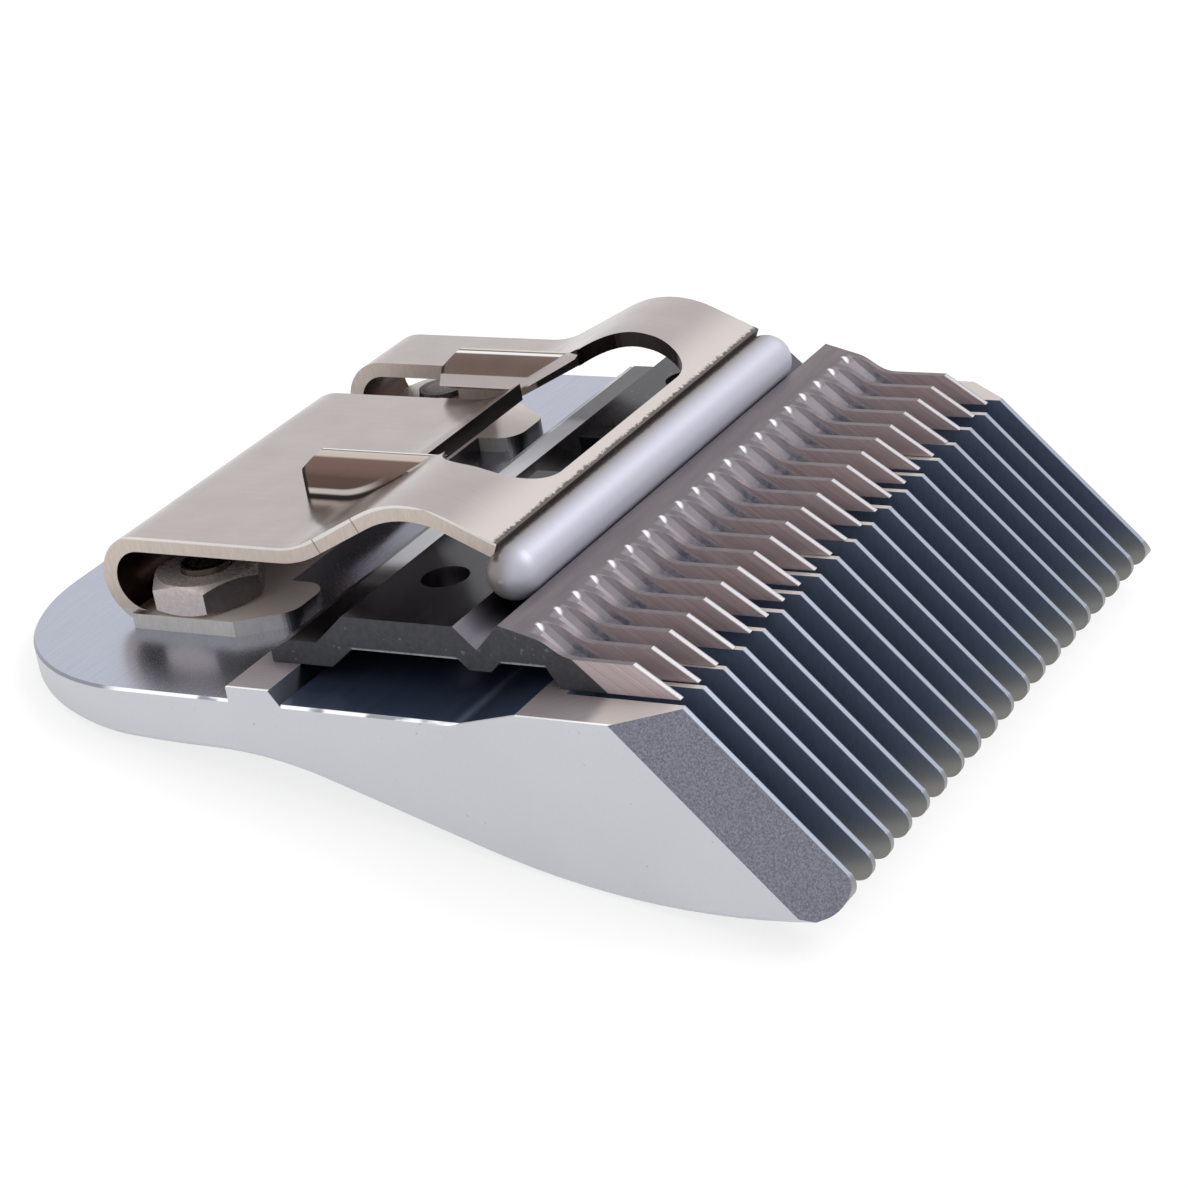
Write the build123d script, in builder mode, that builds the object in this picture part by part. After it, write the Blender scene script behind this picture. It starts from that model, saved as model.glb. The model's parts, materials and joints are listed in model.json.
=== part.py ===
"""A detachable hair clipper blade: comb, cutter, tension spring, two screws and two nuts.

The blade's own axes are x along the row of teeth, y back from the cutting edge and z up from
the ground faces. The blade rests on its heel and its belly, so those axes lean a little
from the level frame that the part is written in.
"""
import os
from math import asin, atan2, cos, degrees, hypot, radians, sin, sqrt

from build123d import *

# Comb teeth
comb_teeth = 19
comb_pitch = 2.35
comb_tooth = 0.40
end_tooth = 2.95
end_chamfer_depth = 3.1
front_slope = 47.0
tip_radius = 1.0
comb_slot_back = 7.2
comb_slot_slope = 63.0

# Comb body
comb_length = 47.4
heel_radius = 12.5
land_depth = 8.8
hollow_ramp = 3.6
hollow_depth = 0.85
rail_front = 24.55
rail_ramp = 0.6
rail_width = 2.85
seat_drop = 0.8
edge_break = 0.15
lower_break = 0.4
heel_thickness = 3.35
heel_edge = 1.32
waist = 29.5
waist_radius = 24.0
belly_slope = 18.5
belly_run = 9.6
belly_radius = 44.5

# Cutter
cutter_teeth = 21
cutter_pitch = 2.03
cutter_tooth = 0.40
cutter_setback = 0.55
cutter_lift = 0.03
tooth_height = 1.8
tooth_bevel = 2.55
tooth_flat = 3.4
shoulder_run = 2.4
shoulder_height = 2.85
slot_root = 4.9
slot_wheel_radius = 9.1
slot_wheel_place = 2.34
slot_wheel_height = 8.7
slot_flats = 12
slot_steps = 4
slot_step_turn = 12.0
groove_place = 12.7
groove_floor = 1.85
groove_front_lip = 3.45
bridge_height = 3.15
bridge_back = 21.2
arch_height = 1.2
arch_front = 7.8
arch_front_ramp = 0.7
arch_back = 22.4
arch_back_ramp = 1.5
keel_height = 0.6
keel_width = 1.4
keel_ramp = 0.6
foot_height = 1.4
foot_ramp = 2.0
foot_back = 26.4
foot_nose = 0.7
foot_bevel = 1.3
bridge_hole_diameter = 2.8
bridge_hole_span = 29.4
bridge_hole_place = 17.9

# Drive lug on the cutter
lug_width = 9.0
lug_front = 14.9
lug_depth = 3.8
lug_height = 4.3
lug_slot = 5.0
lug_web = 1.4

# Tension spring
sheet = 0.95
leaf_width = 32.2
leaf_height = 4.85
fold_back = 40.9
crest = 19.1
ramp_slope = 26.6
nose_slope = 24.2
crest_radius = 6.8
ramp_radius = 5.0
nose_width = 31.0
nose_radius = 1.6
nose_clearance = 0.08
nose_step = 0.25
nose_lap = 0.5
lower_leaf_front = 31.5
spring_foot_inner_side = 2.65
spring_foot_outer_side = 3.15
spring_foot_front_reach = 6.55
spring_foot_back_reach = 3.65
spring_foot_slant_width = 2.05
spring_foot_slant_depth = 3.0
spring_foot_corner = 1.5

# Window for the drive lever
window_width = 20.4
window_front = 14.1
window_back = 21.3
window_corner = 3.2
throat_width = 12.6
throat_back = 24.5
throat_corner = 0.8

# Socket ears and the slot behind one of them
ear_span = 18.2
ear_top = 7.35
ear_front = 21.2
ear_length = 9.3
ear_radius = 1.15
ear_turn = 150.0
ear_lip_length = 1.4
ear_hole_width = 2.1
ear_corner = 0.8
slot_outside = 11.1
slot_inside = 6.0

# Screws and nuts
screw_span = 27.0
screw_place = 35.35
screw_diameter = 3.0
screw_clearance = 0.1
head_diameter = 5.6
head_height = 1.2
head_clearance = 0.15
head_slot_width = 0.8
head_slot_depth = 0.6
shelf = 1.6
nut_across_flats = 6.2
nut_face_diameter = 5.9
nut_height = 1.9
nut_chamfer = 0.33
thread_out = 0.35

# Places that follow from those sizes
comb_half = (comb_teeth - 1) / 2 * comb_pitch - comb_tooth / 2 + end_tooth
cutter_half = (cutter_teeth - 1) / 2 * cutter_pitch + cutter_tooth / 2
rail_back = rail_front + rail_width
waist_floor = -seat_drop - heel_thickness
slope = radians(belly_slope)
ramp_top = (waist - waist_radius * sin(slope), waist_floor - waist_radius * (1 - cos(slope)))
ramp_foot = (ramp_top[0] - belly_run, ramp_top[1] - belly_run * sin(slope) / cos(slope))
belly_centre = (ramp_foot[0] - belly_radius * sin(slope), ramp_foot[1] + belly_radius * cos(slope))
heel_run = comb_length - waist
heel_rise = heel_thickness - heel_edge
heel_bow = (heel_run**2 + heel_rise**2) / (2 * heel_rise)
bow_centre = (waist, waist_floor + heel_bow)
front = radians(front_slope)
front_along = belly_centre[0] * cos(front) + belly_centre[1] * sin(front)
front_length = sqrt(front_along**2 - belly_centre[0]**2 - belly_centre[1]**2 + belly_radius**2) - front_along
tip = (-front_length * cos(front), -front_length * sin(front))

# Comb outline, seen from its end
heel_corner = (comb_length, waist_floor + heel_rise)
heel_half_turn = asin(heel_run / heel_bow) / 2
bow_middle = (waist + heel_bow * sin(heel_half_turn), bow_centre[1] - heel_bow * cos(heel_half_turn))
with BuildSketch(Plane.YZ) as comb_side:
    with BuildLine():
        Polyline(
            tip,
            (0, 0),
            (land_depth, 0),
            (land_depth + hollow_ramp, -hollow_depth),
            (rail_front - rail_ramp, -hollow_depth),
            (rail_front, 0),
            (rail_back, 0),
            (rail_back, -seat_drop),
            (comb_length, -seat_drop),
            heel_corner,
        )
        ThreePointArc(heel_corner, bow_middle, (waist, waist_floor))
        JernArc((waist, waist_floor), (-1, 0), waist_radius, belly_slope)
        Line(ramp_top, ramp_foot)
        ThreePointArc(ramp_foot, (belly_centre[0], belly_centre[1] - belly_radius), tip)
    make_face()
    fillet(comb_side.vertices().sort_by(Axis.X)[0], tip_radius)

# The blade's axes at rest, where one line touches the belly and the bow of the heel
across = bow_centre[0] - belly_centre[0]
rise = bow_centre[1] - belly_centre[1]
rest_tilt = degrees(atan2(rise, across) - asin((heel_bow - belly_radius) / hypot(across, rise)))
rested = comb_side.sketch.rotate(Axis.X, -rest_tilt).bounding_box()
tilt = radians(rest_tilt)
blade = Plane(
    origin=(0, -rested.center().Y, -rested.min.Z),
    x_dir=(1, 0, 0),
    z_dir=(0, sin(tilt), cos(tilt)),
)
side = Plane(origin=blade.origin, x_dir=blade.y_dir, z_dir=blade.x_dir)
end = Plane(origin=blade.origin, x_dir=blade.x_dir, z_dir=-blade.y_dir)


def rows(count, pitch):
    """Side planes spread evenly about the middle of the blade."""
    return [side.offset((index - (count - 1) / 2) * pitch) for index in range(count)]


# Comb
reach = comb_length + front_length
chamfer_slant = end_chamfer_depth / (end_tooth - comb_tooth)
chamfer_margin = 2.0
looking_down = -0.7
slot_bottom = tip[1] - belly_radius
slot_run = -slot_bottom / (sin(radians(comb_slot_slope)) / cos(radians(comb_slot_slope)))
with BuildPart() as comb:
    with BuildSketch(side):
        add(comb_side.sketch.moved(Location(Plane.YZ).inverse()))
    extrude(amount=comb_half, both=True)
    with BuildSketch(blade.offset(-reach)) as plan:
        with Locations((0, comb_length - reach)):
            Rectangle(2 * comb_half, 2 * reach)
        fillet(plan.vertices().group_by(Axis.Y)[-1], heel_radius)
    extrude(amount=2 * reach, mode=Mode.INTERSECT)
    backward = Axis(blade.origin, blade.y_dir)
    level_faces = comb.faces().filter_by(blade).sort_by(backward)
    hollow_sides = level_faces[1].edges().filter_by(backward)
    seat_rim = level_faces[-1].edges().sort_by(backward)[1:]
    chamfer(hollow_sides + seat_rim, edge_break)
    underside = comb.faces().filter_by(lambda face: face.normal_at().dot(blade.z_dir) < looking_down)
    heel_line = underside.edges().filter_by(Axis.X).sort_by(backward)[-1]
    chamfer(underside.edges().filter_by(Axis.X, reverse=True) + [heel_line], lower_break)
    with BuildSketch(blade) as corners:
        with BuildLine():
            Polyline(
                (-comb_half - chamfer_margin, end_chamfer_depth + chamfer_margin * chamfer_slant),
                (-comb_half + end_tooth - comb_tooth, 0),
                (-comb_half + end_tooth - comb_tooth, -chamfer_margin),
                (-comb_half - chamfer_margin, -chamfer_margin),
                close=True,
            )
        make_face()
        mirror(about=Plane.YZ)
    slide = -cos(front) * blade.y_dir - sin(front) * blade.z_dir
    extrude(amount=2 * front_length, dir=slide, mode=Mode.SUBTRACT)
    with BuildSketch(*rows(comb_teeth - 1, comb_pitch)):
        Polygon(
            (comb_slot_back, 0),
            (comb_slot_back, reach),
            (-reach, reach),
            (-reach, slot_bottom),
            (comb_slot_back - slot_run, slot_bottom),
            align=None,
        )
    extrude(amount=(comb_pitch - comb_tooth) / 2, both=True, mode=Mode.SUBTRACT)
    with Locations(blade.offset(-seat_drop)):
        with GridLocations(screw_span, 1, 2, 1):
            with Locations((0, screw_place)):
                Hole(screw_diameter / 2 + screw_clearance)
    with BuildSketch(blade.offset(-seat_drop - shelf)):
        with Locations((0, screw_place)):
            with GridLocations(screw_span, 1, 2, 1):
                Circle(head_diameter / 2 + head_clearance)
    extrude(amount=-reach, mode=Mode.SUBTRACT)
comb.part.label = "comb"

# Cutter
lifted = blade.offset(cutter_lift)
cutter_side = Plane(origin=lifted.origin, x_dir=blade.y_dir, z_dir=blade.x_dir)
bevel_back = cutter_setback + tooth_bevel
flat_back = bevel_back + tooth_flat
shoulder = (flat_back + shoulder_run, shoulder_height)
keel_front = groove_place - keel_width / 2
keel_back = groove_place + keel_width / 2
clear = 4 * lug_height
slot_half = (cutter_pitch - cutter_tooth) / 2
slot_reach = slot_wheel_radius / cos(radians(slot_step_turn / 2))
slot_turns = [radians((index + 1) * slot_step_turn) for index in range(slot_steps + 1)]
slot_floor = [
    (slot_wheel_place + slot_reach * sin(turn), slot_wheel_height - slot_reach * cos(turn), 0)
    for turn in slot_turns
]


def groove(plane, start, finish):
    """Section plane and length of a trough whose floor runs between two places."""
    run = plane.from_local_coords(finish) - plane.from_local_coords(start)
    across_run = run.cross(plane.z_dir)
    bottom = plane.from_local_coords(start) - across_run.normalized() * slot_half
    return Plane(bottom, x_dir=-plane.z_dir, z_dir=run), run.length


with BuildPart() as cutter:
    with BuildSketch(cutter_side):
        with BuildLine():
            Polyline((cutter_setback, 0), (bevel_back, tooth_height), (flat_back, tooth_height))
            Spline((flat_back, tooth_height), shoulder, tangents=((1, 0), (1, 0.27)))
            Polyline(
                shoulder,
                (groove_place - groove_front_lip + groove_floor, groove_front_lip),
                (groove_place, groove_floor),
                (groove_place + bridge_height - groove_floor, bridge_height),
                (bridge_back, bridge_height),
                (bridge_back + foot_ramp, foot_height),
                (foot_back - foot_bevel, foot_height),
                (foot_back, foot_nose),
                (foot_back, 0),
                (arch_back, 0),
                (arch_back - arch_back_ramp, arch_height),
                (keel_back + keel_ramp, arch_height),
                (keel_back, keel_height),
                (keel_front, keel_height),
                (keel_front - keel_ramp, arch_height),
                (arch_front + arch_front_ramp, arch_height),
                (arch_front, 0),
                (cutter_setback, 0),
            )
        make_face()
    extrude(amount=cutter_half, both=True)
    planes = [Plane(origin=row.origin + lifted.origin - blade.origin, x_dir=row.x_dir, z_dir=row.z_dir)
              for row in rows(cutter_teeth - 1, cutter_pitch)]
    with BuildSketch(*planes):
        Polygon((slot_root, -clear), (slot_root, clear), (-clear, clear), (-clear, -clear), align=None)
    extrude(amount=slot_half, both=True, mode=Mode.SUBTRACT)
    for start, finish in zip(slot_floor, slot_floor[1:]):
        sections = [groove(plane, start, finish) for plane in planes]
        with BuildSketch(*[section for section, length in sections]):
            RegularPolygon(slot_half, slot_flats, major_radius=False, rotation=180 / slot_flats)
            with Locations((0, clear / 2)):
                Rectangle(2 * slot_half, clear)
        extrude(amount=sections[0][1], mode=Mode.SUBTRACT)
    with BuildSketch(lifted):
        with Locations((0, bridge_hole_place)):
            with GridLocations(bridge_hole_span, 1, 2, 1):
                Circle(bridge_hole_diameter / 2)
    extrude(amount=clear, mode=Mode.SUBTRACT)
    with BuildSketch(lifted.offset((arch_height + foot_height) / 2)):
        with Locations((0, lug_front + lug_depth / 2)):
            Rectangle(lug_width, lug_depth)
    extrude(amount=lug_height - (arch_height + foot_height) / 2)
    with BuildSketch(lifted.offset(bridge_height)):
        with Locations((0, lug_front + lug_web + lug_depth)):
            Rectangle(lug_slot, 2 * lug_depth)
    extrude(amount=clear, mode=Mode.SUBTRACT)
cutter.part.label = "cutter"

# Tension spring: the nose rests in the cutter's groove, and the leaf runs back from the nose
nose_height = cutter_lift + groove_floor + (nose_radius + nose_clearance) * sqrt(2)
leaf_end = groove_place + nose_lap
leaf_end_top = nose_height + nose_radius + nose_step
crest_top = leaf_end_top + (crest - leaf_end) * sin(radians(nose_slope)) / cos(radians(nose_slope))
ramp_rate = sin(radians(ramp_slope)) / cos(radians(ramp_slope))
ramp_start = crest + (crest_top - leaf_height) / ramp_rate
fold_radius = (leaf_height + seat_drop) / 2
fold_start = fold_back - fold_radius
ear_edge = ear_span / 2
ear_back = ear_front + ear_length
ear_root = leaf_height - sheet / 2

with BuildPart() as ears:
    with BuildSketch(end.offset(-ear_back)) as ear_curl:
        with BuildLine():
            with BuildLine() as outside:
                wall = Line((ear_edge, -seat_drop), (ear_edge, ear_top - ear_radius))
                curl = JernArc(wall @ 1, (0, 1), ear_radius, ear_turn)
                PolarLine(curl @ 1, ear_lip_length, direction=curl % 1)
            offset(outside.line, sheet, side=Side.LEFT)
        make_face()
        mirror(about=Plane.YZ)
    extrude(amount=ear_length)
    with BuildSketch(side) as ear_side:
        Polygon(
            (ear_front, -seat_drop),
            (ear_front, ear_top),
            (ear_back, ear_top),
            (ear_back, -seat_drop),
            align=None,
        )
        chamfer(ear_side.vertices().group_by(Axis.Y)[-1].sort_by(Axis.X)[-1], ear_corner)
    extrude(amount=leaf_width, both=True, mode=Mode.INTERSECT)
    with BuildSketch(side):
        Polygon(
            (fold_back, -fold_back),
            (fold_back, ear_root),
            (ramp_start, ear_root),
            (crest, ear_root + (ramp_start - crest) * ramp_rate),
            (crest, -fold_back),
            align=None,
        )
    extrude(amount=leaf_width, both=True, mode=Mode.SUBTRACT)

with BuildPart() as nose:
    with BuildSketch(side):
        with Locations((groove_place, nose_height)):
            Circle(nose_radius)
    extrude(amount=nose_width / 2, both=True)
    with Locations(side.offset(nose_width / 2), side.offset(-nose_width / 2)):
        with Locations((groove_place, nose_height)):
            Sphere(nose_radius)

with BuildPart() as tension_spring:
    with BuildSketch(side):
        with BuildLine():
            with BuildLine() as outside:
                Line((lower_leaf_front, -seat_drop), (fold_start, -seat_drop))
                ThreePointArc(
                    (fold_start, -seat_drop),
                    (fold_back, leaf_height - fold_radius),
                    (fold_start, leaf_height),
                )
                FilletPolyline(
                    (fold_start, leaf_height),
                    (ramp_start, leaf_height),
                    (crest, crest_top),
                    (leaf_end, leaf_end_top),
                    radius=[ramp_radius, crest_radius],
                )
            offset(outside.line, sheet, side=Side.LEFT)
        make_face()
    extrude(amount=leaf_width / 2, both=True)
    with BuildSketch(blade.offset(leaf_height - fold_radius)) as window:
        with Locations((0, (window_front + window_back) / 2)):
            Rectangle(window_width, window_back - window_front)
        fillet(window.vertices(), window_corner)
        with Locations((0, throat_back - window_corner)):
            Rectangle(throat_width, 2 * window_corner)
    extrude(amount=clear, mode=Mode.SUBTRACT)
    with BuildSketch(blade.offset(leaf_height - fold_radius)):
        with Locations((ear_edge - sheet - ear_hole_width / 2, (ear_front + ear_back) / 2)):
            Rectangle(ear_hole_width, ear_length)
        mirror(about=Plane.YZ)
    extrude(amount=clear, mode=Mode.SUBTRACT)
    with BuildSketch(side.offset(slot_inside)):
        Polygon(
            (ear_back, leaf_height - fold_radius),
            (ear_back, clear),
            (fold_back + sheet, clear),
            (fold_back + sheet, -clear),
            (fold_start, -clear),
            (fold_start, leaf_height - fold_radius),
            align=None,
        )
    extrude(amount=slot_outside - slot_inside, mode=Mode.SUBTRACT)
    add(nose.part)
    add(ears.part)
    with BuildSketch(blade.offset(-seat_drop)) as feet:
        with Locations((-screw_span / 2, screw_place)):
            Polygon(
                (-spring_foot_outer_side, spring_foot_back_reach),
                (-spring_foot_outer_side, spring_foot_slant_depth - spring_foot_front_reach),
                (spring_foot_slant_width - spring_foot_outer_side, -spring_foot_front_reach),
                (spring_foot_inner_side, -spring_foot_front_reach),
                (spring_foot_inner_side, spring_foot_back_reach),
                align=None,
            )
        fillet(feet.vertices().group_by(Axis.Y)[0], spring_foot_corner)
        mirror(about=Plane.YZ)
    extrude(amount=sheet)
    with BuildSketch(blade.offset(-seat_drop)):
        with Locations((0, screw_place)):
            with GridLocations(screw_span, 1, 2, 1):
                Circle(screw_diameter / 2 + screw_clearance)
    extrude(amount=sheet, mode=Mode.SUBTRACT)
tension_spring.part.label = "tension_spring"

# Nuts and screws, made on the left and mirrored to the right
foot_top = sheet - seat_drop
nut_base = blade.from_local_coords((-screw_span / 2, screw_place, foot_top))
nut_corner = nut_across_flats / sqrt(3)
with BuildPart() as nut_left:
    with BuildSketch(Plane(nut_base, x_dir=blade.x_dir, z_dir=blade.z_dir)):
        RegularPolygon(nut_across_flats / 2, 6, major_radius=False, rotation=30)
        Circle(screw_diameter / 2 + screw_clearance / 2, mode=Mode.SUBTRACT)
    extrude(amount=nut_height)
    with BuildSketch(Plane(nut_base, x_dir=blade.x_dir, z_dir=-blade.y_dir)):
        Polygon(
            (0, 0),
            (nut_face_diameter / 2, 0),
            (nut_corner, nut_chamfer),
            (nut_corner, nut_height - nut_chamfer),
            (nut_face_diameter / 2, nut_height),
            (0, nut_height),
            align=None,
        )
    revolve(axis=Axis(nut_base, blade.z_dir), mode=Mode.INTERSECT)
nut_left.part.label = "nut_left"

with BuildPart() as nut_right:
    mirror(nut_left.part, about=Plane.YZ)
nut_right.part.label = "nut_right"

head_base = -seat_drop - shelf - head_height
with BuildPart() as screw_left:
    with BuildSketch(blade.offset(head_base)):
        with Locations((-screw_span / 2, screw_place)):
            Circle(head_diameter / 2)
    extrude(amount=head_height)
    with BuildSketch(blade.offset(head_base + head_height)):
        with Locations((-screw_span / 2, screw_place)):
            Circle(screw_diameter / 2)
    extrude(amount=shelf + sheet + nut_height + thread_out)
    with BuildSketch(blade.offset(head_base)):
        with Locations((-screw_span / 2, screw_place)):
            Rectangle(2 * head_diameter, head_slot_width)
    extrude(amount=head_slot_depth, mode=Mode.SUBTRACT)
screw_left.part.label = "screw_left"

with BuildPart() as screw_right:
    mirror(screw_left.part, about=Plane.YZ)
screw_right.part.label = "screw_right"

os.makedirs("parts", exist_ok=True)
export_step(comb.part, "parts/comb.step")
export_step(cutter.part, "parts/cutter.step")
export_step(tension_spring.part, "parts/tension_spring.step")
export_step(screw_left.part, "parts/screw_left.step")
export_step(screw_right.part, "parts/screw_right.step")
export_step(nut_left.part, "parts/nut_left.step")
export_step(nut_right.part, "parts/nut_right.step")
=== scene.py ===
# %% [markdown]
# # A detachable hair clipper blade
#
# The solid model brings the shapes: a comb, a sliding cutter, a folded spring, two screws and
# two nuts. This lesson gives each of them the finish that the real one has, sets up a small
# white studio, and looks at the blade from its cutting corner.

# %% Load the solid model
import json
from math import atan2, cos, radians, sin

import bmesh
import bpy
from mathutils import Matrix, Vector


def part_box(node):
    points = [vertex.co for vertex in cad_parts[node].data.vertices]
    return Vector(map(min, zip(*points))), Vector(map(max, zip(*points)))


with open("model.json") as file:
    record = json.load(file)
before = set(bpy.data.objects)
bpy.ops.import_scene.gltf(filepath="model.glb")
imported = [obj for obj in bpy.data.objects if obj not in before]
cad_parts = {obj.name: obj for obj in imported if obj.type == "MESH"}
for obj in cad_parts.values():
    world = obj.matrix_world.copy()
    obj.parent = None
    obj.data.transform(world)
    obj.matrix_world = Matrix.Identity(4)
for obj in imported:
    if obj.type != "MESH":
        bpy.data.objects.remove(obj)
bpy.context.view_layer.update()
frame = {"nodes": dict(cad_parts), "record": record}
nodes = frame["nodes"]
print("nodes:", sorted(nodes))

# %% [markdown]
# The blade does not lie level: it rests on its belly and its heel, so its ground faces lean.
# Almost every finish below follows those faces, so it helps to know the blade's own axes:
# along the teeth, back from the cutting edge, and up from the ground faces. The socket between
# the ears is recorded with the direction in which a clipper slides out of it, and that gives
# the lean. The cutting edge itself is a fixed place in the model. Places on the blade are in
# millimetres from there.

# %% The blade's own axes
mounts = {mount["name"]: mount for mount in frame["record"]["mounts"]}
slide_out = mounts["hinge_socket"]["axis"]
blade_lean = atan2(-slide_out[2], slide_out[1])
cutting_edge = Vector((0.0, -0.01809, 0.01117))
millimetre = 0.001
print("lean in radians:", round(blade_lean, 4))

# %% [markdown]
# Shader nodes do arithmetic one node at a time, which is tedious to wire by hand. A small class
# wraps a socket so that ordinary Python sums build those nodes: `1 - mask` adds a Math node and
# returns its output.


# %% A socket that can be used in sums
class Shade:
    """An output socket of a finish that can stand in a sum."""

    def __init__(self, finish, socket):
        self.finish = finish
        self.socket = socket

    def sum(self, operation, first, second):
        return self.finish.node("ShaderNodeMath", {"operation": operation}, {0: first, 1: second})

    def __add__(self, other):
        return self.sum("ADD", self, other)

    def __radd__(self, other):
        return self.sum("ADD", other, self)

    def __sub__(self, other):
        return self.sum("SUBTRACT", self, other)

    def __rsub__(self, other):
        return self.sum("SUBTRACT", other, self)

    def __mul__(self, other):
        return self.sum("MULTIPLY", self, other)

    def __rmul__(self, other):
        return self.sum("MULTIPLY", other, self)

    def __neg__(self):
        return self.sum("MULTIPLY", self, -1.0)

    def __abs__(self):
        return self.sum("ABSOLUTE", self, 0.0)


def colour(given):
    """A linear colour from a display triple of 0 to 255, or a socket as it is."""
    if isinstance(given, Shade):
        return given
    shares = [part / 255.0 for part in given]
    linear = [share / 12.92 if share <= 0.04045 else ((share + 0.055) / 1.055) ** 2.4 for share in shares]
    return (*linear, 1.0)


print("middle grey in linear light:", round(colour((128, 128, 128))[0], 3))

# %% [markdown]
# A finish is one material. Everything that is not arithmetic comes from one method, `node`. The
# other methods are short ways to the same few nodes: a soft step, a band between two values, one
# colour over another by a mask, and whole stacks of those.


# %% A finish and its nodes
class Finish:
    """One material, with short ways to add its nodes."""

    def __init__(self, name):
        self.material = bpy.data.materials.new(name)
        self.material.use_nodes = True
        self.tree = self.material.node_tree
        self.shader = self.tree.nodes["Principled BSDF"]

    def feed(self, socket, given):
        if isinstance(given, Shade):
            self.tree.links.new(given.socket, socket)
        else:
            socket.default_value = given

    def node(self, kind, settings, inputs, output=0):
        """A new node of a kind, its settings, and a value or a link for each socket."""
        made = self.tree.nodes.new(kind)
        for name, setting in settings.items():
            setattr(made, name, setting)
        for name, given in inputs.items():
            self.feed(made.inputs[name], given)
        return Shade(self, made.outputs[output])

    def set(self, **sockets):
        """Feed the shader: base_color goes to its socket Base Color, and so on."""
        for name, given in sockets.items():
            self.feed(self.shader.inputs[name.replace("_", " ").title()], given)

    def step(self, value, low, high):
        """0 below low and 1 above high, with a smooth change between them."""
        return self.node(
            "ShaderNodeMapRange",
            {"interpolation_type": "SMOOTHSTEP"},
            {"Value": value, "From Min": low, "From Max": high},
        )

    def between(self, value, low, high, soft):
        return self.step(value, low - soft, low + soft) * (1 - self.step(value, high - soft, high + soft))

    def blend(self, mask, below, above):
        """One colour over another by a mask."""
        return self.node(
            "ShaderNodeMix",
            {"data_type": "RGBA"},
            {"Factor": mask, 6: colour(below), 7: colour(above)},
            output=2,
        )

    def layers(self, below, *coats):
        """Colours laid over one another, each by its own mask."""
        for mask, above in coats:
            below = self.blend(mask, below, above)
        return below

    def weighted(self, total, *shares):
        """A number plus each mask times its share."""
        for mask, share in shares:
            total = total + mask * share
        return total


print("finish methods:", [name for name in vars(Finish) if not name.startswith("_")])

# %% [markdown]
# Each face of the blade is found by where it is and by which way it looks. So a blade's finish
# turns and scales Object coordinates into the blade's own axes, and turns the direction of the face
# in the same way. A Mapping node of the Texture type undoes a shift, a turn and a scale in one go.
# Noise in that space gives grain, and noise in a stretched space gives streaks.


# %% A finish that knows its place on the blade
class BladeFinish(Finish):
    """A finish that knows where on the blade it is, in millimetres, and which way the face looks."""

    def __init__(self, name):
        super().__init__(name)
        object_place = self.node("ShaderNodeTexCoord", {}, {}, output="Object")
        self.place = self.node(
            "ShaderNodeMapping",
            {"vector_type": "TEXTURE"},
            {
                "Vector": object_place,
                "Location": cutting_edge,
                "Rotation": (-blade_lean, 0.0, 0.0),
                "Scale": (millimetre, millimetre, millimetre),
            },
        )
        face = self.node("ShaderNodeNewGeometry", {}, {}, output="True Normal")
        facing = self.node(
            "ShaderNodeMapping",
            {"vector_type": "VECTOR"},
            {"Vector": face, "Rotation": (blade_lean, 0.0, 0.0)},
        )
        self.along, self.back, self.up = self.parts(self.place)
        self.faces_along, self.faces_back, self.faces_up = self.parts(facing)

    def parts(self, vector):
        split = self.node("ShaderNodeSeparateXYZ", {}, {"Vector": vector})
        outputs = split.socket.node.outputs
        return [Shade(self, outputs[name]) for name in ("X", "Y", "Z")]

    def vector(self, first, second, third):
        return self.node("ShaderNodeCombineXYZ", {}, {"X": first, "Y": second, "Z": third})

    def distance(self, first, second):
        """How far two offsets at right angles reach together."""
        return self.node("ShaderNodeMath", {"operation": "SQRT"}, {0: first * first + second * second})

    def noise(self, place, scale, detail=2.0, roughness=0.5):
        inputs = {"Vector": place, "Scale": scale, "Detail": detail, "Roughness": roughness}
        return self.node("ShaderNodeTexNoise", {}, inputs)

    def stretched(self, size):
        """The place with each axis divided by a size, for streaks."""
        inputs = {"Vector": self.place, "Scale": size}
        return self.node("ShaderNodeMapping", {"vector_type": "TEXTURE"}, inputs)

    def bump(self, height, strength, distance):
        inputs = {"Height": height, "Strength": strength, "Distance": distance}
        return self.node("ShaderNodeBump", {}, inputs)


comb = BladeFinish("comb_steel")
print("nodes in a blade's finish before any mask:", len(comb.tree.nodes))

# %% [markdown]
# The comb is one block of plated steel, and it shows how each face was made. Its sides and its
# underside are satin with a few pits. The walls of the slots are polished.
#
# A mask is a number from 0 to 1, and masks are multiplied where both conditions must hold. A
# painted map could do the same, but it would have to be redrawn whenever the shape changes.

# %% Comb steel: find the sides and the slots
comb_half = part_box("comb")[1][0] / millimetre
heel_start = 30.0
upright = 1 - comb.step(abs(comb.faces_up), 0.15, 0.3)
looks_sideways = comb.step(abs(comb.faces_along), 0.93, 0.97)
underside = comb.step(-comb.faces_up, 0.25, 0.4)
at_end = comb.step(abs(comb.along), comb_half - 1.4, comb_half - 0.9)
at_heel = comb.step(comb.back, heel_start, heel_start + 1.0)
satin = upright * (at_end + at_heel - at_end * at_heel) + underside
slot_root = comb.step(-comb.faces_back, 0.84, 0.87)
slot_wall = looks_sideways * (1 - at_end) + slot_root
print("half width of the comb:", round(comb_half, 2))
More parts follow.
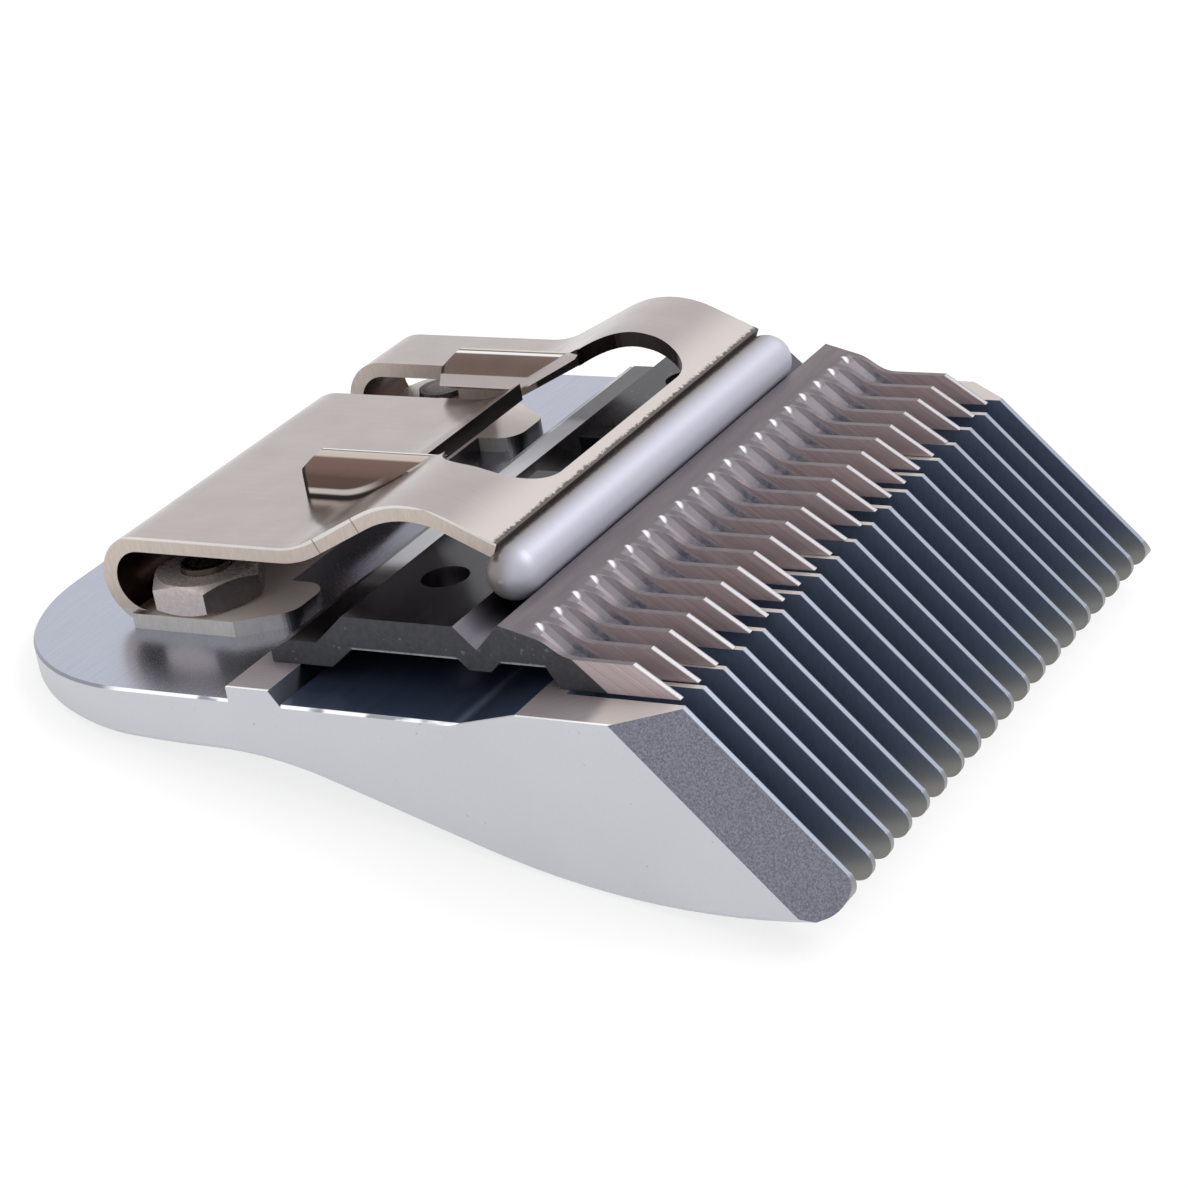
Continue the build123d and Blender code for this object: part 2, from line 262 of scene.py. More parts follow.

# %% [markdown]
# The land under the cutter's teeth and the rail at the back were ground flat. The hollow between
# them and the seat of the spring behind them are polished. The hollow lies under the cutter, and its
# dark navy is painted shade. The hollow starts with a gentle ramp, so its mask lets a face lean a
# little more than the ground ones.

# %% Comb steel: find the ground faces
land_back, rail_front, rail_back = 8.8, 24.5, 27.4
looks_up = comb.step(comb.faces_up, 0.96, 0.985)
looks_nearly_up = comb.step(comb.faces_up, 0.9, 0.95)
front_land = looks_up * (1 - comb.step(comb.back, land_back - 0.05, land_back + 0.05))
hollow = looks_nearly_up * comb.between(comb.back, land_back + 0.03, rail_front - 0.3, 0.03)
rail_top = looks_up * comb.between(comb.back, rail_front, rail_back + 0.02, 0.03)
seat = looks_up * comb.step(comb.back, rail_back, rail_back + 0.06)
ground = front_land + rail_top
print("the hollow runs from", land_back, "to", rail_front)

# %% [markdown]
# Edges catch the light. The ends of the ground faces have a bright line, a painted highlight, the
# edges round the hollow and the seat are broken by a small bevel, and the front of each tooth is a
# narrow strip, painted pale down its middle as a highlight and darker at its rims as shade. The
# slanted corner at each end was left as it came from the mould.
#
# The teeth repeat, so one node that counts back and forth along the row gives the distance from
# the middle of any tooth.

# %% Comb steel: find the edges
comb_pitch = 2.35
# A white line painted along the ends of the ground faces: a painted highlight.
painted_end_highlight = (ground + hollow) * comb.step(abs(comb.along), comb_half - 0.2, comb_half - 0.14)
behind_land = comb.step(comb.back, land_back + 0.2, land_back + 0.4)
broken_edge = comb.between(comb.faces_up, 0.66, 0.75, 0.02) * behind_land
tooth_front = comb.between(comb.faces_up, 0.66, 0.70, 0.01) * comb.step(-comb.faces_back, 0.7, 0.72)
cast_corner = comb.between(abs(comb.faces_along), 0.62, 0.70, 0.02)
cast_corner = cast_corner * comb.between(comb.faces_up, 0.47, 0.55, 0.02)
# The front of each tooth is painted pale down its middle and darker towards its rims: a painted highlight
# and painted shade.
from_tooth = comb.node("ShaderNodeMath", {"operation": "PINGPONG"}, {0: comb.along, 1: comb_pitch / 2})
tooth_rim_shade = comb.step(from_tooth, 0.12, 0.18)
print("nodes for the comb's masks:", len(comb.tree.nodes))

# %% [markdown]
# Grinding marks are long thin streaks. A noise texture gives them when its space is squeezed
# along one axis. The wheel that ground the land turned about a point far off to one side, so
# the streaks are laid along circles about that point.

# %% Comb steel: marks
wheel_side, wheel_back = 14.0, 46.0
wheel_distance = comb.distance(comb.along - wheel_side, comb.back - wheel_back)
arc_marks = comb.noise(comb.vector(wheel_distance * 5.0, comb.along * 0.05, 0.0), 1.0, detail=3.0)
polish_marks = comb.noise(comb.stretched((6.0, 0.25, 1.0)), 1.5, detail=3.0)
cast_grain = comb.noise(comb.place, 9.0, detail=2.0, roughness=0.6)
fine_grain = comb.noise(comb.place, 14.0, detail=2.0)
cloud = comb.noise(comb.place, 0.12, detail=2.0)
pits = comb.step(comb.noise(comb.place, 2.6, detail=1.0), 0.75, 0.79)
nicks = comb.step(comb.noise(comb.stretched((1.0, 2.2, 1.0)), 0.55, detail=3.0), 0.36, 0.44)
print("nodes with the comb's marks:", len(comb.tree.nodes))

# %% [markdown]
# Each kind of face gets its own colour, and marks vary it. Colours are written as they look on a
# screen, from 0 to 255. The land is paler towards its front, the walls of the slots turn beige
# near the tips, and the broken edge is nicked and bright except round the heel.

# %% Comb steel: colours
strip_back, strip_slant = 6.2, 0.1
ramp_foot = 12.4
heel_bend = 35.0
tip_top = -7.4
satin_colour = comb.layers(
    (205, 207, 212),
    (cloud, (194, 196, 202)),
    (fine_grain * 0.25, (170, 171, 176)),
    (pits * 0.3, (120, 120, 124)),
)
front_strip = 1 - comb.step(comb.back - comb.along * strip_slant, strip_back, strip_back + 1.0)
ground_colour = comb.layers(
    (160, 152, 155),
    (arc_marks, (126, 119, 123)),
    (front_strip * 0.6, (214, 207, 201)),
)
tips = 1 - comb.step(comb.up, tip_top - 3.0, tip_top)
slot_colour = comb.layers((86, 99, 122), (polish_marks, (108, 120, 142)), (tips * 0.8, (142, 138, 127)))
ramp_line = comb.between(comb.back, ramp_foot - 0.3, ramp_foot + 0.3, 0.3)
# The hollow under the cutter is painted dark navy: painted shade.
hollow_shade_colour = comb.layers((36, 43, 61), (polish_marks, (72, 81, 104)), (ramp_line * 0.4, (136, 144, 162)))
polished_colour = comb.blend(polish_marks, (150, 160, 176), (186, 192, 202))
seat_colour = comb.blend(polish_marks, (166, 169, 186), (184, 187, 201))
cast_colour = comb.blend(comb.step(cast_grain, 0.25, 0.75), (90, 90, 102), (128, 129, 142))
round_heel = comb.step(comb.back, heel_bend, heel_bend + 1.5)
edge_colour = comb.layers((150, 153, 160), (nicks, (252, 252, 255)), (round_heel, (136, 138, 148)))
front_colour = comb.layers((166, 171, 186), (fine_grain, (148, 153, 168)), (tooth_rim_shade, (104, 110, 124)))
print("nodes with the comb's colours:", len(comb.tree.nodes))

# %% [markdown]
# The colours are laid over one another by their masks. Steel that is polished like a mirror would
# show nothing but the dark walls across the slots, so those walls keep part of a matt skin and are
# only half metallic. The ground faces and the moulded corner are rougher than the rest, and a
# shallow bump lets their marks catch the light.

# %% Comb steel: put together
comb_colour = comb.layers(
    polished_colour,
    (satin, satin_colour),
    (slot_wall, slot_colour),
    (hollow, hollow_shade_colour),
    (ground, ground_colour),
    (seat, seat_colour),
    (painted_end_highlight, (255, 255, 255)),
    (tooth_front, front_colour),
    (cast_corner, cast_colour),
    (broken_edge, edge_colour),
)
comb_rough = comb.weighted(
    0.18,
    (satin, 0.18),
    (seat, 0.06),
    (ground, 0.2),
    (slot_wall, 0.1),
    (cast_corner, 0.34),
    (tooth_front, 0.1),
    (fine_grain, 0.05),
)
comb_matt = comb.weighted(
    0.0,
    (satin, 0.35),
    (slot_wall, 0.55),
    (hollow, 0.5),
    (ground, 0.5),
    (cast_corner, 0.5),
    (broken_edge, 0.5),
)
comb_height = ground * arc_marks * 0.2 + cast_corner * cast_grain + satin * (fine_grain * 0.2 - pits * 0.4)
comb.set(
    base_color=comb_colour,
    metallic=1 - comb_matt,
    roughness=comb_rough,
    normal=comb.bump(comb_height, 0.35, 0.06 * millimetre),
)
nodes["comb"].material_slots[0].material = comb.material
print("comb steel:", len(comb.tree.nodes), "nodes")

# %% [markdown]
# The cutter is harder and darker. Its ends are almost black and a little rough, with a pale rim
# over the arch below. The bridge behind its groove is polished and painted black, as shade under
# the leaf, and the lug that the clipper drives is painted black as shade too. The foot at the back
# has a pale patch of painted light in the middle and is painted dark, as shade, towards its ends.
# One solid carries all of these, so masks tell them apart again.

# %% Cutter steel: find the body's faces
cutter = BladeFinish("cutter_steel")
cutter_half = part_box("cutter")[1][0] / millimetre
groove_front, groove_back, bridge_back = 11.0, 14.1, 21.25
lug_half, lug_front, lug_back, lug_foot = 4.6, 14.5, 19.0, 3.2
arch_front, arch_back, arch_top = 8.5, 20.9, 1.2
light_patch_half = 9.5
looks_sideways = cutter.step(abs(cutter.faces_along), 0.9, 0.95)
end_face = looks_sideways * cutter.step(abs(cutter.along), cutter_half - 0.2, cutter_half - 0.1)
level = cutter.step(cutter.faces_up, 0.9, 0.95)
bridge = level * cutter.between(cutter.back, groove_back - 0.2, bridge_back, 0.05)
foot = cutter.step(cutter.faces_up, 0.4, 0.5) * cutter.step(cutter.back, bridge_back - 0.05, bridge_back)
# A pale patch of painted light in the middle of the foot.
painted_light_patch = foot * (1 - cutter.step(abs(cutter.along), light_patch_half, light_patch_half + 2.5))
lug = 1 - cutter.step(abs(cutter.along), lug_half, lug_half + 0.1)
lug = lug * cutter.between(cutter.back, lug_front, lug_back, 0.1)
lug = lug * cutter.step(cutter.up, lug_foot, lug_foot + 0.05)
groove_wall = cutter.between(cutter.faces_up, 0.6, 0.8, 0.03)
groove_wall = groove_wall * cutter.between(cutter.back, groove_front, groove_back, 0.05)
arch_rim = cutter.between(cutter.up, arch_top, arch_top + 0.13, 0.04)
arch_rim = arch_rim * cutter.between(cutter.back, arch_front, arch_back, 0.1)
arch_rim = arch_rim * (1 - cutter.between(cutter.back, groove_front + 0.3, groove_back, 0.1)) * end_face
print("half width of the cutter:", round(cutter_half, 2))

# %% [markdown]
# The teeth were ground on their sides with a coarse wheel that ran down the bevel. The sharp bevels
# are painted pale along their middle, a painted highlight, and darker at their rims, painted shade.
# Each trough between two teeth is mottled, with painted shade halfway up, and ends in a small
# painted highlight, always on the same flank. The remainder of the place along the row, divided by
# the pitch, tells how far a point is from the middle of its trough.

# %% Cutter steel: find the teeth and the troughs
tooth_pitch = 2.03
bevel_back, side_back = 3.2, 8.6
end_slant, end_bevel = 1.06, 4.8
trough_front, trough_back = 4.6, 9.4
spot_near, spot_far, spot_foot = 0.08, 0.34, 2.5
in_pitch = cutter.node("ShaderNodeMath", {"operation": "FLOORED_MODULO"}, {0: cutter.along, 1: tooth_pitch})
from_trough = in_pitch - tooth_pitch / 2
end_ground = 1 - cutter.step(cutter.back - cutter.up * end_slant, end_bevel, end_bevel + 0.1)
tooth_side = looks_sideways * (1 - cutter.step(cutter.back, side_back, side_back + 0.6))
tooth_side = tooth_side * (1 - end_face * (1 - end_ground))
tooth_bevel = cutter.step(-cutter.faces_back, 0.5, 0.55)
tooth_bevel = tooth_bevel * (1 - cutter.step(cutter.back, bevel_back, bevel_back + 0.1))
# The bevels are painted darker towards their rims and stay pale along the middle: painted shade and a
# painted highlight.
bevel_rim_shade = 1 - cutter.step(abs(from_trough), 0.86, 0.92)
trough = 1 - cutter.step(abs(from_trough), 0.7, 0.8)
trough = trough * cutter.between(cutter.back, trough_front, trough_back, 0.1)
trough = trough * (1 - tooth_side)
# A small painted highlight at the back end of each trough, on one flank.
painted_highlight_spot = cutter.between(from_trough, spot_near, spot_far, 0.08)
painted_highlight_spot = painted_highlight_spot * cutter.between(cutter.back, trough_back - 0.2, trough_back + 0.15, 0.1)
painted_highlight_spot = painted_highlight_spot * cutter.step(cutter.up, spot_foot, spot_foot + 0.1)
print("nodes for the cutter's masks:", len(cutter.tree.nodes))

# %% [markdown]
# The same few noises serve all of the cutter: lines down the bevel, a rough skin, long smears of
# oil, a few grey specks, and a mottle of painted shade that lies only halfway up the troughs. Noise
# needs no picture files, and it stays sharp however close the camera comes.

# %% Cutter steel: marks
down_bevel = cutter.back * 0.7 - cutter.up
bevel_lines = cutter.noise(cutter.vector(down_bevel * 6.0, cutter.along * 2.0, 0.0), 1.0, detail=3.0)
rough_skin = cutter.noise(cutter.place, 3.2, detail=4.0, roughness=0.65)
smears = cutter.noise(cutter.stretched((5.0, 0.6, 1.0)), 1.0, detail=3.0)
grey_speck = cutter.step(cutter.noise(cutter.place, 2.6, detail=1.0), 0.70, 0.75)
# A dark mottle halfway up the troughs: painted shade.
mottled_shade = cutter.step(cutter.noise(cutter.place, 1.8, detail=4.0, roughness=0.7), 0.35, 0.65)
mottled_shade = (mottled_shade * 0.6 + 0.4) * cutter.between(cutter.back, 6.2, 7.9, 0.6)
print("nodes with the cutter's marks:", len(cutter.tree.nodes))

# %% [markdown]
# The top is a warm dark grey. The ground sides of the teeth are much paler and slightly pink, since
# bare steel shows there, and the dark parts keep a trace of blue.

# %% Cutter steel: colours
top_colour = cutter.blend(smears, (98, 92, 97), (134, 126, 129))
# The bridge is painted black: painted shade under the leaf, with smears and grey specks on it.
bridge_shade_colour = cutter.layers((30, 30, 36), (smears, (54, 52, 59)), (grey_speck * 0.4, (120, 120, 126)))
# The painted light patch on the foot is nearly white.
light_patch_colour = cutter.blend(smears, (246, 248, 252), (226, 228, 234))
# The foot is painted dark towards its ends: painted shade under the leaf.
foot_colour = cutter.layers((56, 55, 60), (rough_skin, (92, 90, 95)), (painted_light_patch, light_patch_colour))
groove_colour = cutter.blend(smears, (66, 64, 70), (90, 88, 94))
# The lug is painted black: painted shade.
lug_shade_colour = cutter.blend(rough_skin, (30, 29, 33), (50, 49, 53))
trough_colour = cutter.blend(mottled_shade, (126, 120, 126), (70, 69, 82))
# The painted highlight at the end of each trough is almost white.
highlight_spot_colour = cutter.blend(rough_skin, (252, 250, 252), (226, 223, 226))
end_colour = cutter.layers(
    (46, 47, 52),
    (rough_skin, (82, 82, 86)),
    (grey_speck * 0.4, (130, 130, 132)),
    (arch_rim * rough_skin, (190, 192, 196)),
)
side_colour = cutter.blend(bevel_lines, (206, 189, 190), (138, 122, 124))
bevel_colour = cutter.layers((186, 185, 190), (bevel_lines, (168, 167, 172)), (bevel_rim_shade, (134, 126, 128)))
print("nodes with the cutter's colours:", len(cutter.tree.nodes))

# %% [markdown]
# Put together, the polished faces mirror the spring above them, and the ground faces and the
# painted light patch on the foot are matt enough to stay pale in its shade.

# %% Cutter steel: put together
cutter_colour = cutter.layers(
    top_colour,
    (bridge, bridge_shade_colour),
    (foot, foot_colour),
    (groove_wall, groove_colour),
    (lug, lug_shade_colour),
    (trough, trough_colour),
    (painted_highlight_spot, highlight_spot_colour),
    (end_face, end_colour),
    (tooth_side, side_colour),
    (tooth_bevel, bevel_colour),
)
cutter_matt = cutter.weighted(
    0.0,
    (end_face, 0.45),
    (tooth_bevel, 0.4),
    (tooth_side, 0.6),
    (trough, 0.5),
    (painted_highlight_spot, 0.3),
    (painted_light_patch, 0.8),
)
cutter_height = end_face * rough_skin + tooth_side * bevel_lines * 0.4
cutter.set(
    base_color=cutter_colour,
    metallic=1 - cutter_matt,
    roughness=cutter.weighted(0.3, (end_face, 0.22), (smears, 0.08), (bridge + foot, -0.14)),
    normal=cutter.bump(cutter_height, 0.35, 0.06 * millimetre),
)
nodes["cutter"].material_slots[0].material = cutter.material
print("cutter steel:", len(cutter.tree.nodes), "nodes")

# %% [markdown]
# The spring is one strip of nickel plated sheet. Its cut edges are duller than its face, with a
# bright line along the top and two hairline cracks where the sheet was bent. The nose is satin.
#
# Several marks follow the top of the leaf, which is flat over the nuts, climbs to a crest and then
# falls to the nose. One sum gives its height at any place along the blade.

# %% Spring nickel: find the edges and the nose
spring = BladeFinish("spring_nickel")
flat_height, crest_rise = 4.85, 3.18
crest_back, ramp_end = 19.1, 28.1
fall_start, fall_rate = 17.5, 0.449
fall = spring.node("ShaderNodeMath", {"operation": "MAXIMUM"}, {0: fall_start - spring.back, 1: 0.0})
climb = 1 - spring.step(spring.back, crest_back, ramp_end)
leaf_top = flat_height + crest_rise * climb - fall * fall_rate
over_leaf = spring.up - leaf_top

leaf_half = 16.1
crack_starts = (22.64, 19.02)
cut_edge = spring.step(abs(spring.faces_along), 0.85, 0.95)
outer_edge = cut_edge * spring.between(abs(spring.along), leaf_half - 0.1, leaf_half + 0.1, 0.03)
# A bright line along the top of each outer cut edge.
edge_top_line = outer_edge * spring.between(over_leaf, -0.17, 0.1, 0.03)
across_sheet = spring.back - spring.up * 0.5
crack = sum(spring.between(across_sheet, start, start + 0.1, 0.03) for start in crack_starts)
crack = crack * outer_edge

nose_back, nose_height, nose_radius = 12.7, 4.256, 1.6
nose_distance = spring.distance(spring.back - nose_back, spring.up - nose_height)
on_nose = (1 - spring.step(nose_distance, nose_radius + 0.04, nose_radius + 0.1)) * (1 - outer_edge)
cut_edge = cut_edge * (1 - on_nose)
print("nodes for the spring's edges:", len(spring.tree.nodes))

# %% [markdown]
# The feet lie on the comb, and their edges are those of a stamping; the edges that look towards the
# teeth are painted dark, as shade. The wall of the window and the inside of the fold are painted
# dark, as shade, because hardly any light gets in. The end of the leaf leaves a ragged line where it
# meets the nose: a noise shifts the place before the band is cut.

# %% Spring nickel: find the feet, the window, the fold and the seam
window_half, throat_back = 10.3, 24.6
fold_middle_back, fold_middle_up = 38.08, 2.03
fold_front, fold_reach = 37.0, 2.0
leaf_front, seam_foot = 13.2, 5.2
foot_height = 0.3
foot_top = spring.step(spring.faces_up, 0.9, 0.95)
foot_top = foot_top * (1 - spring.step(spring.up, foot_height, foot_height + 0.1))
upright = 1 - spring.step(abs(spring.faces_up), 0.3, 0.5)
foot_edge = upright * (1 - spring.step(spring.up, foot_height - 0.14, foot_height - 0.1))
in_window = 1 - spring.step(abs(spring.along), window_half, window_half + 0.1)
in_window = in_window * (1 - spring.step(spring.back, throat_back, throat_back + 0.2))
window_wall = upright * in_window * (1 - on_nose)
fold_distance = spring.distance(spring.back - fold_middle_back, spring.up - fold_middle_up)
inside_fold = 1 - spring.step(fold_distance, fold_reach, fold_reach + 0.2)
inside_fold = inside_fold * spring.step(spring.back, fold_front, fold_front + 1.6)
inside_fold = inside_fold * (1 - cut_edge)
ragged = spring.noise(spring.place, 3.5, detail=4.0, roughness=0.75)
seam = spring.between(spring.back + (ragged - 0.5) * 0.7, leaf_front - 0.25, leaf_front + 0.25, 0.08)
seam = seam * spring.step(spring.up, seam_foot, seam_foot + 0.2) * (1 - cut_edge)
print("nodes for the spring's masks:", len(spring.tree.nodes))

# %% [markdown]
# The face of the sheet has fine rolling marks and is a little paler near the seam. The cut edges
# carry the upright streaks of the shear. The nose is brighter in front than behind, where it turns
# towards the leaf; the darker part behind is painted shade.

# %% Spring nickel: marks and colours
roll_marks = spring.noise(spring.stretched((0.25, 5.0, 5.0)), 1.2, detail=3.0)
shear_marks = spring.noise(spring.stretched((4.0, 0.2, 0.8)), 1.0, detail=4.0, roughness=0.65)
dull = spring.noise(spring.place, 0.35, detail=3.0)
near_seam = 1 - spring.step(spring.back, 14.0, 16.6)
face_colour = spring.layers(
    (190, 182, 180),
    (dull, (174, 166, 165)),
    (roll_marks * 0.25, (148, 141, 140)),
    (near_seam * 0.7, (224, 215, 211)),
)
edge_colour = spring.layers(
    (216, 204, 193),
    (shear_marks, (180, 168, 159)),
    (edge_top_line * 0.6, (246, 245, 244)),
    (crack * 0.7, (92, 80, 74)),
)
# Behind, where the nose turns towards the leaf, it is painted darker: painted shade.
nose_crease_shade = spring.step(spring.back, 11.9, 12.9)
nose_colour = spring.layers(
    (176, 176, 189),
    (roll_marks * 0.4, (162, 162, 176)),
    (nose_crease_shade * 0.85, (128, 121, 118)),
)
foot_colour = spring.blend(dull, (216, 205, 200), (192, 181, 176))
# Edges of the feet that look towards the teeth are painted dark: painted shade.
forward_edge_shade = 1 - spring.step(abs(spring.faces_along), 0.6, 0.9)
foot_edge_colour = spring.layers(
    (216, 213, 208),
    (shear_marks, (172, 169, 164)),
    (forward_edge_shade, (70, 66, 65)),
)
# The wall of the window and the inside of the fold are painted dark: painted shade.
window_shade_colour = spring.blend(shear_marks, (48, 42, 40), (70, 62, 59))
fold_shade_colour = spring.blend(dull, (84, 66, 59), (58, 45, 40))
print("nodes with the spring's colours:", len(spring.tree.nodes))

# %% [markdown]
# Each ear is a small curved mirror of what stands round it. Its wall is brown, with a pale band low
# down where it meets the leaf. Over the rolled top it turns beige, crosses a dark line and a pale
# one, and is brown again inside. A mirror in an empty studio would have nothing to show, so these
# bands are painted on, by how far a point is from the middle of the blade. A dark line along the
# foot of each ear, where it meets the leaf, and along its back end is painted shade.

# %% Spring nickel: ears
ear_front, ear_back = 21.0, 30.6
ear_lip, ear_outside = 6.3, 9.3
roll_foot = 6.2
wall_reach, dark_reach, pale_reach, inside_reach = 8.45, 7.92, 7.76, 7.5
ear_reach = abs(spring.along)
in_ear = spring.between(spring.back, ear_front, ear_back, 0.05)
in_ear = in_ear * spring.between(ear_reach, ear_lip, ear_outside, 0.05)
ear_wall = in_ear * cut_edge * spring.step(over_leaf, -0.1, 0.0)
ear_roll = in_ear * spring.step(spring.up, roll_foot, roll_foot + 0.05)
ear_roll = ear_roll * spring.step(over_leaf, 0.1, 0.2) * (1 - cut_edge)
pale_band = spring.between(over_leaf, 0.22, 0.55, 0.08) * spring.step(spring.back, 24.5, 27.0)
# A dark line where the ear meets the leaf and along its back end: painted shade.
ear_foot_shade = 1 - spring.step(over_leaf, 0.1, 0.2)
ear_end_shade = spring.step(spring.back, ear_back - 0.4, ear_back - 0.25)
ear_inside = spring.blend(dull, (124, 104, 96), (96, 78, 71))
ear_colour = spring.layers(
    (190, 177, 168),
    (spring.step(ear_reach, wall_reach, wall_reach + 0.15), (112, 90, 82)),
    (1 - spring.step(ear_reach, dark_reach, dark_reach + 0.08), (70, 58, 54)),
    (1 - spring.step(ear_reach, pale_reach, pale_reach + 0.08), (232, 230, 228)),
    (1 - spring.step(ear_reach, inside_reach, inside_reach + 0.1), ear_inside),
    (pale_band * ear_wall, (240, 233, 226)),
    (ear_foot_shade + ear_end_shade - ear_foot_shade * ear_end_shade, (46, 40, 38)),
)
print("nodes with the ears:", len(spring.tree.nodes))

# %% [markdown]
# Put together, the face is smooth metal. The cut edges, the nose and the seam are rougher. Those,
# the feet and the rolled tops of the ears are also less metallic, so that they keep their own colour
# where there is little to mirror.

# %% Spring nickel: put together
spring_colour = spring.layers(
    face_colour,
    (cut_edge, edge_colour),
    (on_nose, nose_colour),
    (foot_top, foot_colour),
    (foot_edge, foot_edge_colour),
    (window_wall, window_shade_colour),
    (inside_fold, fold_shade_colour),
    (ear_wall + ear_roll, ear_colour),
    (seam * 0.9, (54, 47, 46)),
)
spring_matt = spring.weighted(
    0.0,
    (cut_edge, 0.4),
    (on_nose, 0.55),
    (seam, 0.4),
    (foot_top, 0.7),
    (foot_edge, 0.2),
    (ear_roll, 0.4),
)
spring_height = roll_marks * 0.12 + cut_edge * (1 - ear_wall) * shear_marks * 0.6
spring.set(
    base_color=spring_colour,
    metallic=1 - spring_matt,
    roughness=spring.weighted(0.2, (dull, 0.1), (cut_edge, 0.18), (on_nose, 0.2), (seam, 0.3)),
    normal=spring.bump(spring_height, 0.2, 0.04 * millimetre),
)
nodes["tension_spring"].material_slots[0].material = spring.material
print("spring nickel:", len(spring.tree.nodes), "nodes")

# %% [markdown]
# The nuts are plated like the spring and have a sandy, glittering cast on their flats. The flats
# that look towards the teeth are painted dark, as shade under the leaf. The ends of the screws are
# dark too, darkest in a ring. Screws and nuts share one finish, which tells them apart by the
# distance from the middle of the screw.

# %% Fastener nickel
fastener = BladeFinish("fastener_nickel")
screw_side, screw_back, screw_radius, screw_top = 13.5, 35.35, 1.5, 2.0
sand = fastener.noise(fastener.place, 4.0, detail=2.0, roughness=0.6)
glitter = fastener.step(fastener.noise(fastener.place, 7.0, detail=1.0), 0.62, 0.7)
screw_distance = fastener.distance(abs(fastener.along) - screw_side, fastener.back - screw_back)
screw_end = 1 - fastener.step(screw_distance, screw_radius, screw_radius + 0.06)
screw_end = screw_end * fastener.step(fastener.up, screw_top, screw_top + 0.04)
screw_end_ring = fastener.between(screw_distance, 1.05, 1.3, 0.06)
# The flats that look towards the teeth are painted dark: painted shade under the leaf.
shaded_flat = fastener.step(-fastener.faces_back, 0.5, 0.7)
fastener_colour = fastener.layers(
    (226, 215, 210),
    (sand, (182, 171, 166)),
    (glitter * 0.3, (246, 240, 234)),
    (shaded_flat * 0.9, fastener.blend(sand, (62, 56, 54), (44, 39, 38))),
    (screw_end, fastener.blend(screw_end_ring, (84, 76, 72), (36, 32, 30))),
)
fastener.set(
    base_color=fastener_colour,
    metallic=0.6 + screw_end * 0.1,
    roughness=0.2 + sand * 0.16,
    normal=fastener.bump(sand, 0.15, 0.05 * millimetre),
)
for name in ("screw_left", "screw_right", "nut_left", "nut_right"):
    nodes[name].material_slots[0].material = fastener.material
print("fastener nickel:", len(fastener.tree.nodes), "nodes")

# %% [markdown]
# The studio starts with a pale floor. A painted floor turns grey in the picture wherever less light
# reaches it. So where the camera sees it, straight or mirrored in the metal, most of its paint is
# swapped for an even white. The rest of the paint keeps the soft shadow under the blade.

# %% Floor
floor_half = 1.5
white_share = 0.75
floor_mesh = bpy.data.meshes.new("studio_floor")
floor_shape = bmesh.new()
bmesh.ops.create_grid(floor_shape, x_segments=1, y_segments=1, size=floor_half)
floor_shape.to_mesh(floor_mesh)
floor_shape.free()
floor = bpy.data.objects.new("studio_floor", floor_mesh)
bpy.context.collection.objects.link(floor)

floor_paint = Finish("floor_paint")
floor_paint.set(base_color=(0.9, 0.9, 0.9, 1.0), roughness=0.9)
rays = ("Is Camera Ray", "Is Glossy Ray", "Is Transmission Ray")
seen = sum(floor_paint.node("ShaderNodeLightPath", {}, {}, output=ray) for ray in rays)
seen = floor_paint.node("ShaderNodeMath", {"operation": "MINIMUM"}, {0: seen, 1: 1.0})
white_light = floor_paint.node("ShaderNodeEmission", {}, {"Color": (1.0, 1.0, 1.0, 1.0), "Strength": 1.0})
painted = Shade(floor_paint, floor_paint.shader.outputs[0])
floor_mix = floor_paint.node("ShaderNodeMixShader", {}, {0: seen * white_share, 1: painted, 2: white_light})
floor_paint.feed(floor_paint.tree.nodes["Material Output"].inputs["Surface"], floor_mix)
floor_mesh.materials.append(floor_paint.material)
print("floor corners in metres:", [tuple(vertex.co) for vertex in floor_mesh.vertices])

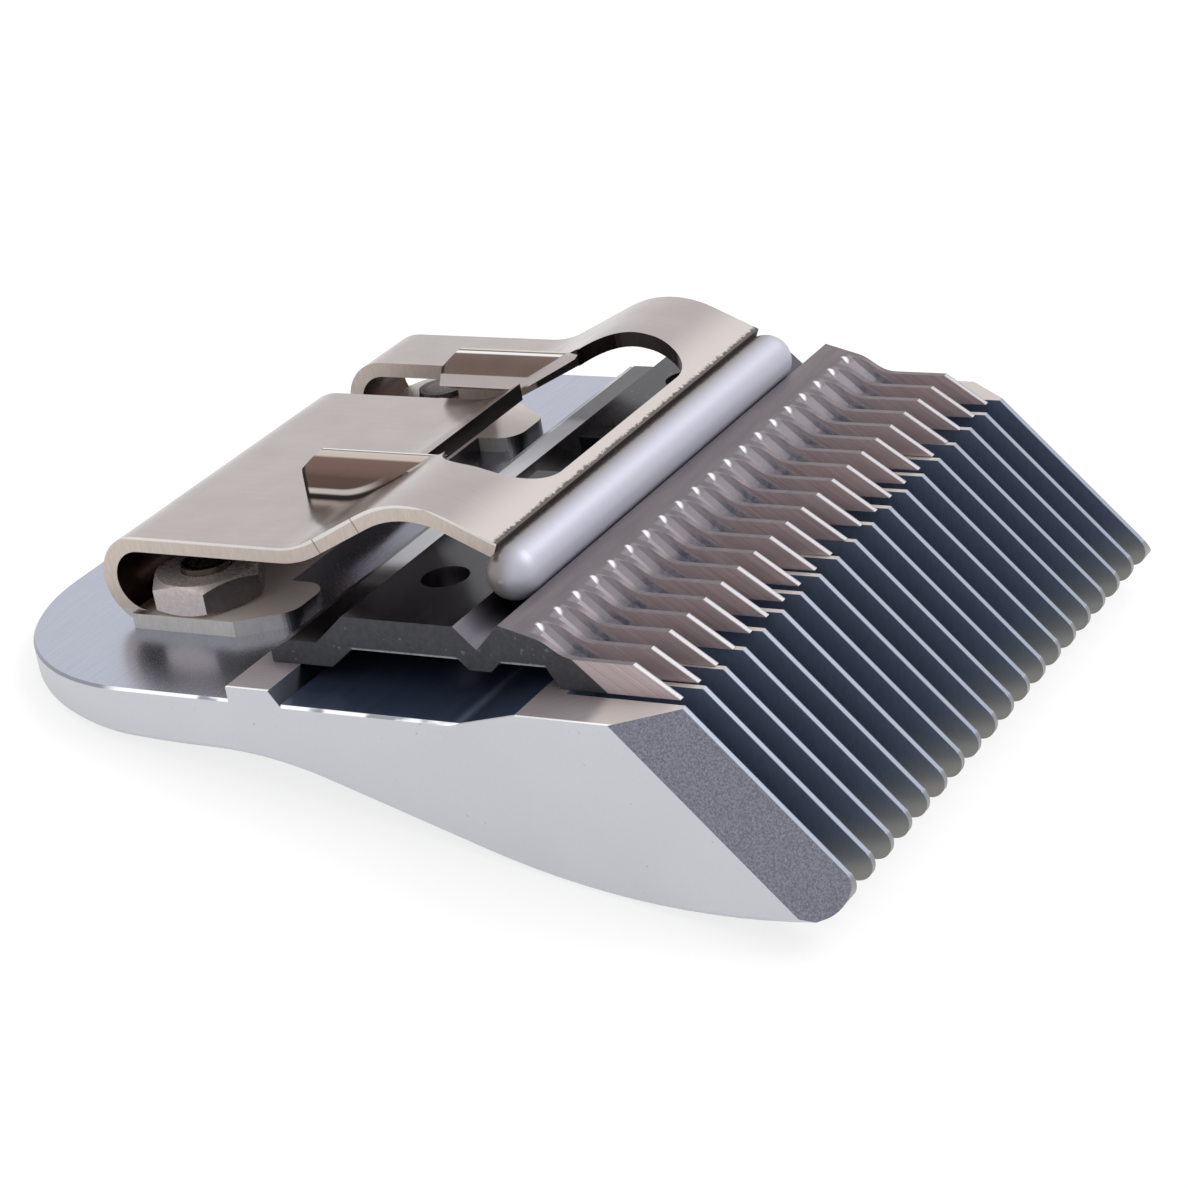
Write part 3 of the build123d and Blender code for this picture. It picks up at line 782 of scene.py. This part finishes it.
# %% [markdown]
# An even white sky lights everything at a plain level, so that a colour looks much as it is written.
# One wide soft lamp, above the teeth and in front of them, adds soft highlights. Several lamps would
# give stronger ones, but each would be mirrored in the metal.

# %% Sky and lamp
world = bpy.data.worlds.new("studio_sky")
world.use_nodes = True
bpy.context.scene.world = world
sky = world.node_tree.nodes["Background"]
sky.inputs["Color"].default_value = (1.0, 1.0, 1.0, 1.0)
sky.inputs["Strength"].default_value = 1.0

key_data = bpy.data.lights.new("key_softbox", "AREA")
key_data.shape = "RECTANGLE"
key_data.size = 0.5
key_data.size_y = 0.35
key_data.energy = 2.0
key = bpy.data.objects.new("key_softbox", key_data)
key.location = (0.25, -0.25, 0.5)
key.rotation_mode = "QUATERNION"
key.rotation_quaternion = (-key.location).to_track_quat("-Z", "Y")
bpy.context.collection.objects.link(key)
print("lamp distance in metres:", round(key.location.length, 2))

# %% [markdown]
# The camera stands close to the near corner of the teeth, a little above them, with a long lens.
# It was found on a blade that leans a little less, so it is turned with the blade.

# %% Camera
photo_lean = radians(10.15)
camera_azimuth = radians(-61.5)
camera_elevation = radians(28.58)
camera_place = Vector((-0.16225, -0.0713, 0.09278))
picture_width = 1188
focal_pixels = 3531
sensor = 36.0

turn = Matrix.Rotation(photo_lean - blade_lean, 3, "X")
right = Vector((cos(camera_azimuth), sin(camera_azimuth), 0.0))
behind = Vector((
    sin(camera_azimuth) * cos(camera_elevation),
    -cos(camera_azimuth) * cos(camera_elevation),
    sin(camera_elevation),
))
axes = Matrix((turn @ right, turn @ behind.cross(right), turn @ behind)).transposed()
camera_data = bpy.data.cameras.new("camera")
camera_data.sensor_width = sensor
camera_data.lens = focal_pixels / picture_width * sensor
camera_data.clip_start = 0.01
camera = bpy.data.objects.new("camera", camera_data)
camera.matrix_world = Matrix.Translation(cutting_edge + turn @ camera_place) @ axes.to_4x4()
bpy.context.collection.objects.link(camera)
bpy.context.scene.camera = camera
bpy.context.scene.view_settings.view_transform = "Standard"
print("lens in millimetres:", round(camera_data.lens, 1))

# %% [markdown]
# The finishes change no shape, so the box round the dressed blade has to be the solid model's own.
